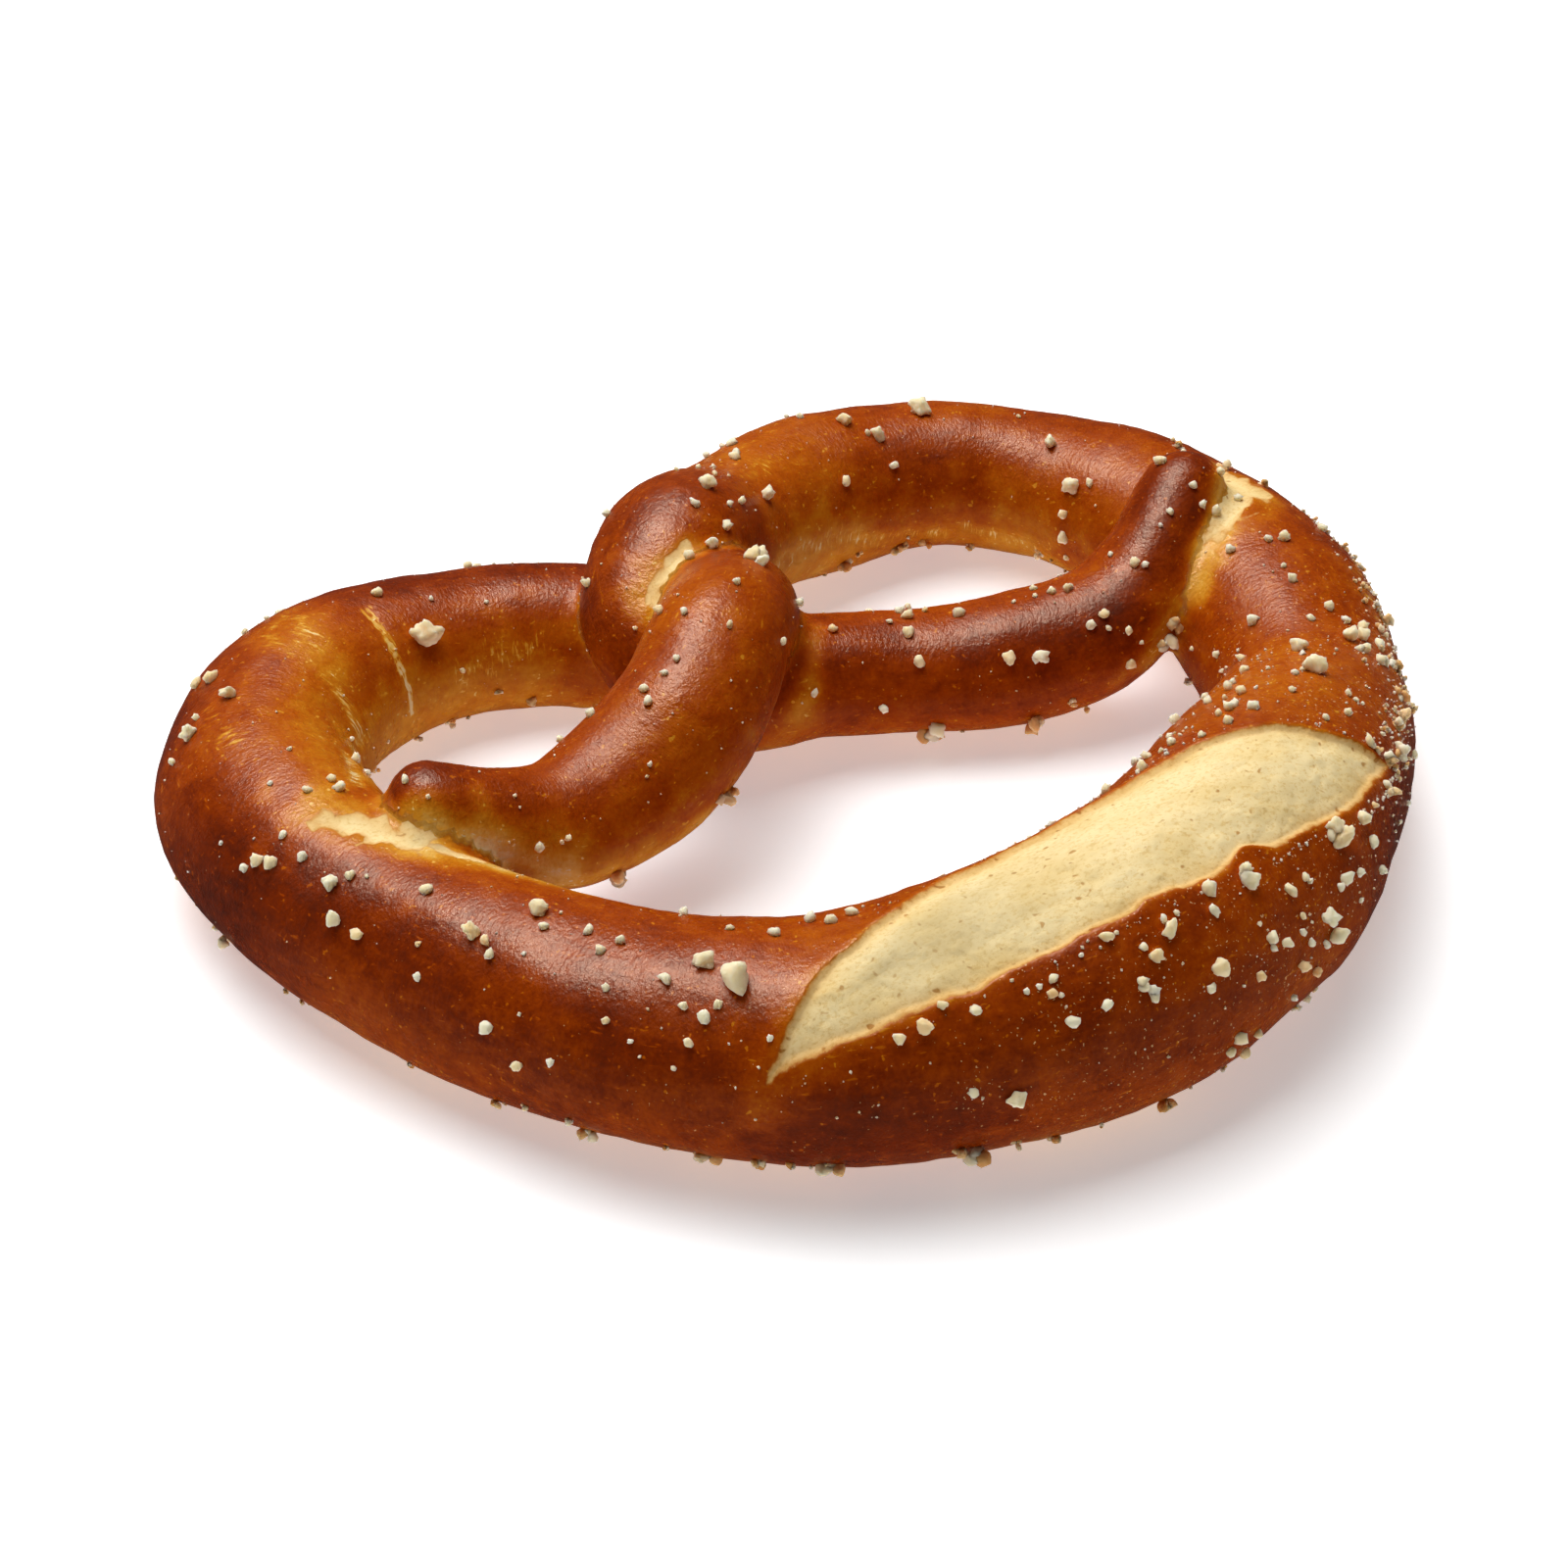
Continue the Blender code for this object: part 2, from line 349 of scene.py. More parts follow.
# %% [markdown]
# ## Shaping the skin
#
# Real dough is never as even as a lathe's work. First the knife-sharp seams are eased into soft fillets, as
# where two strands grow together. Then the skin is moved along its own normals, by amounts that add up:
# slow waves from the rolling hands, flat blisters from the lye, and the slit, which lies a little below the
# crust inside a low lip.

# %% Soft seams
def relaxed(points, edges, share, rounds):
    """Moves every point towards the mean of its neighbours by its share, as many rounds as asked."""
    start, end = edges.T
    count = np.bincount(edges.ravel(), minlength=len(points))[:, None]
    for _ in range(rounds):
        from_end = [np.bincount(start, axis[end], len(axis)) for axis in points.T]
        from_start = [np.bincount(end, axis[start], len(axis)) for axis in points.T]
        points = points + share[:, None] * ((np.array(from_end) + from_start).T / count - points)
    return points


SEAM_WIDTH, SEAM_SHARE, SEAM_ROUNDS = 1.6, 0.6, 10
skin = relaxed(skin, edges, SEAM_SHARE * near(gap, 0.0, SEAM_WIDTH), SEAM_ROUNDS)
print(f"the seams are eased over {SEAM_WIDTH} mm")

# %% [markdown]
# Tears and creases are strokes of a brush on the rope: from one place to another, each place as millimetres
# along the rope and degrees round it, with half its width. Beside both tips and at the twist the skin tore
# open while it rose, and along the inner side of the bends it was drawn into shallow creases.

# %% Strokes that shape the skin
TORN_STROKES = [  # start, end, half width in mm
    ((173.5, 85), (178, 94), 1.3),
    ((177, 93), (185, 109), 2.6),
    ((185, 109), (192, 127), 1.6),
    ((193, 127), (201, 134), 0.6),
    ((476.5, 122), (479.5, 107), 1.6),
    ((479.5, 107), (483.5, 86), 1.1),
    ((376, 85), (368, 78), 2.8),
    ((370, 84), (364, 106), 3.0),
    ((364, 106), (361.5, 120), 1.6),
]
CREASES = [  # start, end
    ((122, 100), (125, 150)),
    ((125, 150), (124, 182)),
    ((142, 162), (164, 152)),
    ((158, 140), (169, 126)),
    ((456, 182), (436, 178)),
    ((436, 184), (418, 200)),
    ((414, 192), (400, 202)),
]
TORN_SLOPE, TORN_WAVES = 0.8, [(0.42, 2.8, 34)]  # of a tear's ragged edge
CREASE_HALF_WIDTH = 0.9


def stroke_distance(start, end):
    """Distance over the unrolled skin to the stroke: to the perpendicular's foot, kept between its ends."""
    turn = (angle - math.radians(start[1]) + np.pi) % (2 * np.pi) - np.pi
    point = np.stack([along - start[0], radius * turn], axis=1)
    rise = radius * math.radians(end[1] - start[1])
    ahead = np.stack([np.full(len(skin), end[0] - start[0]), rise], axis=1)
    share = np.clip((point * ahead).sum(axis=1) / (ahead * ahead).sum(axis=1), 0.0, 1.0)
    return np.linalg.norm(point - share[:, None] * ahead, axis=1)


slit, slit_share = inside_slit(skin, angle)
torn, ragged = slit.copy(), layered(skin, TORN_WAVES)
for start, end, half_width in TORN_STROKES:
    torn = np.maximum(torn, TORN_SLOPE * (half_width - stroke_distance(start, end)) + ragged)
crease = np.zeros(len(skin))
for start, end in CREASES:
    crease = np.maximum(crease, near(stroke_distance(start, end), 0.0, CREASE_HALF_WIDTH))
print(f"{((torn > 0) & (slit < 0)).sum()} points lie in tears, and {(crease > 0.5).sum()} in creases")

# %% Moving the skin along its normals: heights, depths and widths in mm
HAND_WAVES = [(0.24, 26.0, 21), (0.05, 10.0, 22)]
BLISTER, BLISTER_LENGTH, BLISTER_CUT = 0.07, 4.5, (1.3, 2.8)  # only the tops of the waves rise
CROSS_FOLDS, FOLD_SHAPE = [(0.018, 2.6, 24)], (1.0, 0.35, 0.35)  # drawn out round the rope
CRUMB_WAVES = [(0.045, 3.6, 25), (0.03, 1.5, 26)]
STEP_DOWN, RISE_AGAIN = 0.65, 0.40  # at the slit's edge, and towards its middle
VALLEY, VALLEY_PLACE, VALLEY_LENGTH = 0.8, 0.28, 0.22  # a dip at this share of the slit's length
LIP, LIP_WIDTH, TEAR_DEPTH, CREASE_DEPTH = 0.05, 0.7, 0.40, 0.28
SEAM_CALM, CALM_WIDTH = 0.7, 1.5  # the share of all this that a seam takes away


def normals_of(points):
    """The mesh's own point normals, after its points have been put here."""
    dough.data.vertices.foreach_set("co", (points * MM).astype(np.float32).ravel())
    dough.data.update()
    return read_vectors(dough.data.vertex_normals, "vector").astype(float)


def smooth_step(low, high, value):
    """0 below low, 1 above high, and 3t^2 - 2t^3 between them."""
    t = np.clip((value - low) / (high - low), 0.0, 1.0)
    return t * t * (3 - 2 * t)


def rested(points, softness=0.5):
    """Nothing lies below the tray, and the base gets a round edge: with h the height less half the softness,
    the height becomes (h + root of (h squared + softness squared)) / 2."""
    height = points[:, 2] - softness / 2
    lifted = (height + np.sqrt(height**2 + softness**2)) / 2
    return np.column_stack([points[:, :2], np.where(points[:, 2] < -softness, 0.0, lifted)])


# The rope pulled straight: along it, and its two directions across, so nothing jumps where the angle wraps
straight = np.stack([along, radius * np.cos(angle), radius * np.sin(angle)], axis=1)
blisters = BLISTER * (np.clip(waves(skin, BLISTER_LENGTH, 23), *BLISTER_CUT) - BLISTER_CUT[0])
crust_only = (blisters + layered(straight * FOLD_SHAPE, CROSS_FOLDS)) * (slit < 0)
step_down = STEP_DOWN * smooth_step(0.0, 0.9, slit) - RISE_AGAIN * smooth_step(1.5, 9.0, slit)
valley = VALLEY * near(slit_share, VALLEY_PLACE, VALLEY_LENGTH) * smooth_step(2.0, 7.5, slit)
lip = LIP * near(slit, -LIP_WIDTH, LIP_WIDTH)
tears = TEAR_DEPTH * smooth_step(0.2, 1.6, torn) * (slit < 0)
crumb_lumps = smooth_step(0.3, 2.0, slit) * layered(skin, CRUMB_WAVES)
outward = layered(skin, HAND_WAVES) + crust_only - step_down - valley
outward += lip + crumb_lumps - tears - CREASE_DEPTH * crease
outward *= 1.0 - SEAM_CALM * near(gap, 0.0, CALM_WIDTH)
skin = rested(skin + outward[:, None] * normals_of(skin))
normals = normals_of(skin)
print("the skin moved by", np.round([outward.min(), outward.max()], 2), "mm")

# %% [markdown]
# ## How brown is each place?
#
# Lye browns whatever skin the oven reaches. Skin that opened late stays pale: the seams, the surroundings of
# the tears, and stretch marks across a bend. The foot sits on the tray and browns less, and it is made paler
# still as painted light from the white table below; the thin tips brown most. The front flanks that face away
# from the softbox are darkened with painted shade. All this is painted into one number per point, from 0 for
# raw cream to 1 for nearly burnt, so that it follows the shape. Two more numbers say where the crumb gets
# grey-olive painted shade in its hollows and the crust is dusty with salt.
#
# The paint is laid in the same kind of strokes. A pale one takes some browning away evenly, and leaves some
# cream that later breaks up into fine cracks.

# %% Strokes on the rope: start, end, half width in mm, browning taken away, cream in cracks
PALE_STROKES = [
    ((173, 86), (186, 110), 5.4, 0.38, 0.2),  # round the tear beside the left tip, on the ring
    ((186, 110), (195, 128), 3.6, 0.40, 0.0),
    ((193, 126), (207, 133), 2.2, 0.36, 0.0),
    ((-2, 18), (6, 2), 3.2, 0.48, 0.0),  # and below the left tip, on the arm
    ((6, 2), (14, -14), 4.2, 0.46, 0.0),
    ((14, -14), (34, -40), 5.4, 0.32, 0.0),
    ((476, 123), (479, 107), 3.4, 0.32, 0.15),  # where the arms cross, on the hook
    ((479, 107), (485, 70), 2.6, 0.34, 0.0),
    ((507, 85), (501, 5), 1.6, 0.26, 0.0),  # and on the arm beyond
    ((501, 10), (499, -35), 3.5, 0.30, 0.0),
    ((377, 90), (366, 74), 3.4, 0.34, 0.2),  # round the tear beyond the right tip, and down its crease
    ((369, 94), (361, 118), 3.8, 0.40, 0.1),
    ((361, 118), (357, 146), 3.0, 0.36, 0.0),
    ((357, 146), (356, 185), 3.0, 0.36, 0.0),
    ((572, 20), (560, 24), 2.2, 0.44, 0.0),
    ((560, 24), (555, -12), 2.2, 0.42, 0.0),
    ((552, 18), (547, -14), 2.6, 0.36, 0.0),
    ((122, 100), (125, 150), 0.95, 0.15, 0.85),  # stretch marks across the left loop
    ((125, 150), (124, 182), 0.85, 0.15, 0.7),
    ((128, 62), (136, 78), 2.0, 0.12, 0.38),
    ((130, 84), (138, 110), 3.4, 0.20, 0.36),
    ((140, 126), (144, 160), 2.6, 0.16, 0.42),
    ((142, 162), (164, 152), 3.0, 0.18, 0.36),
    ((158, 140), (169, 126), 1.6, 0.16, 0.46),
    ((148, 60), (156, 76), 3.0, 0.06, 0.36),
    ((98, 150), (112, 166), 3.0, 0.14, 0.36),
    ((456, 182), (436, 178), 2.4, 0.20, 0.36),  # folds pulled along the inner side of the back
    ((436, 184), (418, 200), 2.0, 0.20, 0.36),
    ((414, 192), (400, 202), 2.2, 0.18, 0.36),
    ((446, 102), (458, 108), 1.4, 0.08, 0.34),
    ((352, 40), (322, 34), 3.0, 0.10, 0.36),  # the crusted rim of the right loop
    ((100, 195), (165, 175), 8.0, 0.26, 0.0),  # broad golden flanks inside the two loops
    ((400, 205), (455, 200), 7.0, 0.30, 0.0),
    ((140, 122), (166, 116), 6.0, 0.15, 0.0),
    ((395, 85), (458, 80), 9.0, 0.08, 0.0),  # and the lighter back
    ((330, 120), (360, 110), 9.0, 0.06, 0.0),
]
BROWNING_AND_SHADE_STROKES = [  # start, end, half width in mm, darkening added: browning, and painted shade on the front flanks
    ((150, -10), (235, -8), 12.0, 0.09),  # painted shade on the front and outer flanks of the left loop and the belly, away from the softbox
    ((160, 60), (200, 60), 7.0, 0.05),
    ((235, 10), (320, 15), 13.0, 0.08),
    ((150, 30), (215, 40), 9.0, 0.12),
    ((42, 110), (62, 100), 6.0, 0.08),  # the tops of the arms, the left loop and the curl
    ((84, 60), (118, 72), 7.0, 0.16),
    ((372, 60), (405, 75), 6.0, 0.08),
    ((472, 66), (492, 10), 9.0, 0.18),
    ((512, 60), (545, 50), 7.0, 0.16),
]
print(len(PALE_STROKES), "pale strokes and", len(BROWNING_AND_SHADE_STROKES), "dark ones")

# %% Browning, cream and torn dough, kept as point attributes
BAKE, BAKE_WAVES = 0.66, [(0.045, 34.0, 31), (0.015, 11.0, 32)]
TIP_BROWN, TIP_LENGTH = 0.20, 13.0  # lengths and widths are in mm
# the foot: paler where it browns less, and with painted light from the white table below
FOOT_PALE_AND_BOUNCE, FOOT_HEIGHT = 0.28, (0.5, 8.0)
SEAM_PALE, PALE_WIDTH = 0.26, 1.3
RIM_PALE, RIM_WIDTH, RIM_WIDER = 0.14, 0.32, 1.7  # round the slit, and wider at its left end
WOBBLE = [(0.18, 5.0, 33)]  # of a pale stroke's width
SHADE_PLACE, SHADE_LENGTH = 0.22, 0.2  # grey-olive painted shade in the slit's valley: its place and length, as shares of the slit's length
TEAR_SHADE = (185, 112), (187, 119), 1.4, 0.9  # a stroke of painted shade in the hollow of the left tip's tear, and how dark it is
DUST_WAVES = [(0.15, 9.0, 35)]


def between(rise, fall, value):
    """Rises from 0 to 1 over the first range, and falls back over the second."""
    return smooth_step(*rise, value) * (1.0 - smooth_step(*fall, value))


def keep(target, name, values):
    """Stores one number or vector per point on the object, where its material can read it."""
    kind, field = ("FLOAT_VECTOR", "vector") if values.ndim == 2 else ("FLOAT", "value")
    made = target.data.attributes.new(name, kind, "POINT")
    made.data.foreach_set(field, np.ascontiguousarray(values, np.float32).ravel())


height = skin[:, 2]
tip_share = near(along, 0.0, TIP_LENGTH) + near(along, ALONG[-1], TIP_LENGTH)
bake_and_shade = BAKE + layered(skin, BAKE_WAVES) + TIP_BROWN * tip_share * smooth_step(0.3, 0.8, np.sin(angle))
# Browning, and on the front flanks painted shade
for start, end, half_width, darker in BROWNING_AND_SHADE_STROKES:
    bake_and_shade += darker * near(stroke_distance(start, end), 0.0, half_width)
# Pale places overlap without bleaching each other: their shares add as the sides of a right angle do
rim = near(np.minimum(slit, 0.0), 0.0, RIM_WIDTH + RIM_WIDER * near(slit_share, 0.0, 0.12)) * (slit > -8.0)
# Paler towards the tray: a foot that browns less, and painted light thrown up from the white table
pale = FOOT_PALE_AND_BOUNCE * (1.0 - smooth_step(*FOOT_HEIGHT, height))
pale = np.hypot(pale, SEAM_PALE * near(gap, 0.0, PALE_WIDTH))
pale = np.hypot(pale, RIM_PALE * rim)
cream = np.zeros(len(skin))
wobble = 1.0 + layered(skin, WOBBLE)
for start, end, half_width, paler, cracked in PALE_STROKES:
    touch = near(stroke_distance(start, end) * wobble, 0.0, half_width)
    pale = np.hypot(pale, paler * touch)
    cream = np.maximum(cream, cracked * touch)
bake_and_shade -= pale
# Grey-olive painted shade where the crumb lies low: in the slit's valley, and in the left tip's tear
crumb_shade = near(slit_share, SHADE_PLACE, SHADE_LENGTH) * smooth_step(0.8, 6.0, slit)
start, end, half_width, deepest_shade = TEAR_SHADE
crumb_shade = np.maximum(crumb_shade, deepest_shade * near(stroke_distance(start, end), 0.0, half_width))
dusty = np.clip(0.25 + 0.75 * between((225, 270), (335, 365), along) + layered(skin, DUST_WAVES), 0.0, 1.0)
painted = {"bake_and_shade": bake_and_shade, "cream": cream, "torn": torn, "crumb_shade": crumb_shade, "dusty": dusty}
for name, values in {"rope": straight, **painted}.items():
    keep(dough, name, values)
dough.data.shade_smooth()
print("browning runs from", np.round([bake_and_shade.min(), bake_and_shade.max()], 2))

# %% [markdown]
# ## Materials
#
# Colours are written as a painter's hex codes, which are sRGB. A shader counts in linear light, so one
# function turns the one into the other. A second small function adds a node: its settings come by name, and
# each socket is given a constant or the output to link to it.


# %% Colour and node helpers
def colour(code):
    """An sRGB hex code in linear light: c / 12.92 when dark, else ((c + 0.055) / 1.055) to the power 2.4."""
    share = np.array([int(code[first : first + 2], 16) for first in (1, 3, 5)]) / 255
    linear = np.where(share <= 0.04045, share / 12.92, ((share + 0.055) / 1.055) ** 2.4)
    return (*linear.tolist(), 1.0)


def node(tree, kind, sockets=None, stops=(), **settings):
    """Adds a node with its settings, its sockets' constants and links, and a ramp's stops."""
    made = tree.nodes.new("ShaderNode" + kind)
    for name, value in settings.items():
        setattr(made, name, value)
    for socket, value in (sockets or {}).items():
        if isinstance(value, bpy.types.NodeSocket):
            tree.links.new(value, made.inputs[socket])
        else:
            made.inputs[socket].default_value = value
    for index, (position, code) in enumerate(stops):
        element = made.color_ramp.elements[index] if index < 2 else made.color_ramp.elements.new(position)
        element.position = position
        element.color = colour(code)
    return made


def new_material(name):
    """An empty material and its node tree."""
    made = bpy.data.materials.new(name)
    made.use_nodes = True
    made.node_tree.nodes.clear()
    return made, made.node_tree


print("chestnut #8C420F is", np.round(colour("#8C420F")[:3], 3), "in linear light")

# %% [markdown]
# ### Baked lye crust, and the crumb in its tears
#
# Lye crust is starch that the alkali has turned to a thin brown glaze. It gives the eye a warm, satin
# highlight like waxed wood, broken by tiny wrinkles across the rope where the skin shrank. Its colour goes
# from cream through straw, gold and chestnut to mahogany as it bakes, in stains with soft edges. The crumb
# that shows in a tear is matt, finely fibrous and cream, with an orange rim where the crust ends. Both are
# one skin, so they are one material that mixes two finishes by the torn attribute, in millimetres inside
# the tear, roughened by a little noise.
#
# Every pattern is a noise whose lumps have a real length in millimetres, either in space, or along and
# across the rope. A loop makes a Mapping and a Noise Texture of each row.

# %% Patterns of the crust and the crumb
crust, tree = new_material("baked_lye_crust")
in_metres = node(tree, "TexCoord").outputs["Object"]
in_mm = node(tree, "Mapping", {"Vector": in_metres, "Scale": (1 / MM,) * 3}).outputs["Vector"]
on_rope = node(tree, "Attribute", attribute_name="rope").outputs["Vector"]
PATTERNS = {  # what it follows, length of its lumps along each axis in mm, detail, roughness
    "stains": (in_mm, (9.0, 9.0, 9.0), 4.0, 0.6),
    "freckles": (in_mm, (2.6, 2.6, 2.6), 4.0, 0.6),
    "streaks": (on_rope, (4.0, 1.2, 1.2), 3.0, 0.55),
    "dashes": (on_rope, (1.7, 0.55, 0.55), 2.0, 0.55),
    "specks": (in_mm, (0.8, 0.8, 0.8), 1.0, 0.5),
    "cracks": (on_rope, (0.55, 2.6, 2.6), 3.0, 0.6),
    "wrinkles": (on_rope, (0.5, 1.1, 1.1), 3.0, 0.65),
    "skin grain": (in_mm, (0.5, 0.5, 0.5), 2.0, 0.6),
    "torn edge": (in_mm, (1.0, 1.0, 1.0), 4.0, 0.65),
    "crumb cells": (in_mm, (0.65, 0.5, 0.5), 4.0, 0.7),
    "crumb clouds": (in_mm, (7.0, 5.0, 5.0), 3.0, 0.55),
    "pores": (in_mm, (1.0, 1.0, 1.0), 0.0, 0.5),
    "salt dust": (in_mm, (0.42, 0.42, 0.42), 1.0, 0.5),
}
pattern = {}
for name, (vector, lengths, detail, roughness) in PATTERNS.items():
    per_mm = [1 / length for length in lengths]
    scaled = node(tree, "Mapping", {"Vector": vector, "Scale": per_mm}).outputs["Vector"]
    noise_sockets = {"Vector": scaled, "Scale": 1.0, "Detail": detail, "Roughness": roughness}
    pattern[name] = node(tree, "TexNoise", noise_sockets).outputs["Fac"]
print("the crust and crumb have", len(pattern), "patterns")

# %% Crust colour
kept = {name: node(tree, "Attribute", attribute_name=name).outputs["Fac"] for name in painted}
# The browning attribute also carries painted shade on the front flanks and painted light at the foot
browning_and_shade = kept["bake_and_shade"]
for name, share in (("streaks", 0.18), ("stains", 0.14), ("freckles", 0.30), ("skin grain", 0.20)):
    centred = node(tree, "Math", {0: pattern[name], 1: 0.5}, operation="SUBTRACT").outputs[0]
    browning_and_shade = node(tree, "Math", {0: centred, 1: share, 2: browning_and_shade}, operation="MULTIPLY_ADD").outputs[0]
# Fine golden dashes and specks all over, and ragged cream cracks where the cream attribute asks for them
crack_sum = {0: pattern["cracks"], 1: 1.3, 2: kept["cream"]}
cracked = node(tree, "Math", crack_sum, operation="MULTIPLY_ADD").outputs[0]
for marks, first, full, paler in [
    (pattern["dashes"], 0.64, 0.76, 0.20),
    (pattern["specks"], 0.69, 0.76, 0.26),
    (cracked, 0.98, 1.28, 0.40),
]:
    ranges = {0: marks, 1: first, 2: full, 3: 0.0, 4: -paler}
    taken = node(tree, "MapRange", ranges, interpolation_type="SMOOTHSTEP").outputs[0]
    browning_and_shade = node(tree, "Math", {0: browning_and_shade, 1: taken}, operation="ADD", use_clamp=True).outputs[0]
CRUST_STOPS = [
    (0.0, "#F4DCA6"), (0.12, "#EBBC60"), (0.26, "#DD992C"), (0.40, "#CA7812"),
    (0.54, "#B85805"), (0.68, "#A03E01"), (0.82, "#7C2802"), (1.0, "#4C190C"),
]  # fmt: skip
crust_colour = node(tree, "ValToRGB", {"Fac": browning_and_shade}, CRUST_STOPS).outputs["Color"]
# The finest salt dust is too small to model: it is cream dots where the dusty attribute asks for them
dust_sum = {0: kept["dusty"], 1: 0.12, 2: pattern["salt dust"]}
dusted = node(tree, "Math", dust_sum, operation="MULTIPLY_ADD").outputs[0]
dust_ranges = {0: dusted, 1: 0.80, 2: 0.86, 3: 0.0, 4: 0.75}
dot_share = node(tree, "MapRange", dust_ranges, interpolation_type="SMOOTHSTEP").outputs[0]
dust_mix = {0: dot_share, 6: crust_colour, 7: colour("#EBBE84")}
crust_colour = node(tree, "Mix", dust_mix, data_type="RGBA").outputs[2]
print("the crust's colour runs over", len(CRUST_STOPS), "stops from cream to mahogany")

# %% Crumb colour
torn_sum = {0: pattern["torn edge"], 1: 0.7, 2: kept["torn"]}
inward = node(tree, "Math", torn_sum, operation="MULTIPLY_ADD").outputs[0]
is_torn = node(tree, "MapRange", {0: inward, 1: 0.35, 2: 0.65}, interpolation_type="SMOOTHSTEP").outputs[0]
crumb_depth = node(tree, "MapRange", {0: inward, 1: 0.4, 2: 3.4}).outputs[0]
RIM_TO_CRUMB = [(0.0, "#B8681C"), (0.05, "#D69A4A"), (0.15, "#EEC684"), (0.5, "#FBDFA2"), (1.0, "#FFE7AE")]
crumb_colour = node(tree, "ValToRGB", {"Fac": crumb_depth}, RIM_TO_CRUMB).outputs["Color"]
# The crumb is darker in the low parts of its cells and in its pores: painted shade in its hollows. The clouds
# are mottling of its colour.
crumb_tint_and_shade = {
    "crumb cells": [(0.36, "#EEE0C2"), (0.50, "#FFFFFF")],
    "crumb clouds": [(0.35, "#F4ECD8"), (0.60, "#FFFFFF")],
    "pores": [(0.17, "#C49A5E"), (0.24, "#FFFFFF")],
}
for name, stops in crumb_tint_and_shade.items():
    tint = node(tree, "ValToRGB", {"Fac": pattern[name]}, stops).outputs["Color"]
    tinted = {0: 0.8, 6: crumb_colour, 7: tint}
    crumb_colour = node(tree, "Mix", tinted, data_type="RGBA", blend_type="MULTIPLY").outputs[2]
# Grey-olive painted shade in the crumb's hollows
shade_share = node(tree, "Math", {0: kept["crumb_shade"], 1: 0.55}, operation="MULTIPLY").outputs[0]
shade_mix = {0: shade_share, 6: crumb_colour, 7: colour("#BDAA7C")}
crumb_colour = node(tree, "Mix", shade_mix, data_type="RGBA").outputs[2]
skin_mix = {0: is_torn, 6: crust_colour, 7: crumb_colour}
skin_colour = node(tree, "Mix", skin_mix, data_type="RGBA").outputs[2]
print("the crumb is tinted by", ", ".join(crumb_tint_and_shade))

# %% Relief, gloss and the finished crust
RELIEF = {  # the pattern and its height in mm
    "crust": (("wrinkles", 0.12), ("skin grain", 0.07)),
    "crumb": (("torn edge", 0.05), ("crumb cells", 0.09)),
}
relief_of = {}
for finish, parts in RELIEF.items():
    risen = 0.0
    for name, high in parts:
        risen = node(tree, "Math", {0: pattern[name], 1: high, 2: risen}, operation="MULTIPLY_ADD").outputs[0]
    relief_of[finish] = risen
relief_mix = {0: is_torn, 2: relief_of["crust"], 3: relief_of["crumb"]}
relief = node(tree, "Mix", relief_mix, data_type="FLOAT").outputs[0]
bump = node(tree, "Bump", {"Strength": 1.0, "Distance": MM, "Height": relief}).outputs["Normal"]
gloss = node(tree, "MapRange", {0: pattern["stains"], 1: 0.3, 2: 0.7, 3: 0.21, 4: 0.35}).outputs[0]
rough = node(tree, "Mix", {0: is_torn, 2: gloss, 3: 0.9}, data_type="FLOAT").outputs[0]
crust_sockets = {
    "Base Color": skin_colour,
    "Roughness": rough,
    "Normal": bump,
    "IOR": 1.22,  # a porous glaze reflects less than solid starch
    "Specular Tint": (1.0, 0.75, 0.54, 1.0),
}
crust_finish = node(tree, "BsdfPrincipled", crust_sockets)
node(tree, "OutputMaterial", {"Surface": crust_finish.outputs[0]})
dough.data.materials.append(crust)
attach(dough, "root")
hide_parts("pretzel")
print("the crust material has", len(tree.nodes), "nodes")

# %% [markdown]
# ## Pretzel salt
#
# Pretzel salt is pressed into coarse lumps that do not melt in the oven: ivory, dull, and knobbly like
# popcorn. A lump is a ball cut by random planes with soft edges: its reach in each direction is (1 + the
# sum of (cosine / distance) to the POWER) to the -1 / POWER, over the planes that face that way. A few
# knobs swell it again, by e to the (KNOB_TIGHTNESS times (cosine - 1)) of the nearest knob. Hundreds of
# lumps would be slow as separate objects, so every kind is one joined mesh, worked out as one array. The
# ball starts as a cube, so that a tiny grain needs only a few faces.


# %% Lumps
PLANES, POWER, PLANE_DISTANCE = 8, 14, (0.62, 1.1)  # radii
KNOBS, KNOB_TIGHTNESS, KNOB_HEIGHT = 7, 15.0, 0.42
BETWEEN_KNOBS, ROUGHNESS, STRETCH = 0.80, 0.035, (0.75, 1.15)


def ball(cuts):
    """Points and quads of a cube blown up to a ball of radius one, its faces cut (cuts + 1) x (cuts + 1)."""
    made = bmesh.new()
    bmesh.ops.create_cube(made, size=2.0)
    if cuts:
        bmesh.ops.subdivide_edges(made, edges=made.edges[:], cuts=cuts, use_grid_fill=True)
    mesh = bpy.data.meshes.new("ball")
    made.to_mesh(mesh)
    made.free()
    points = np.tan(read_vectors(mesh.vertices, "co").astype(float) * np.pi / 4)
    points /= np.linalg.norm(points, axis=1)[:, None]
    return points, read_vectors(mesh.loops, "vertex_index", 1).reshape(-1, 4)


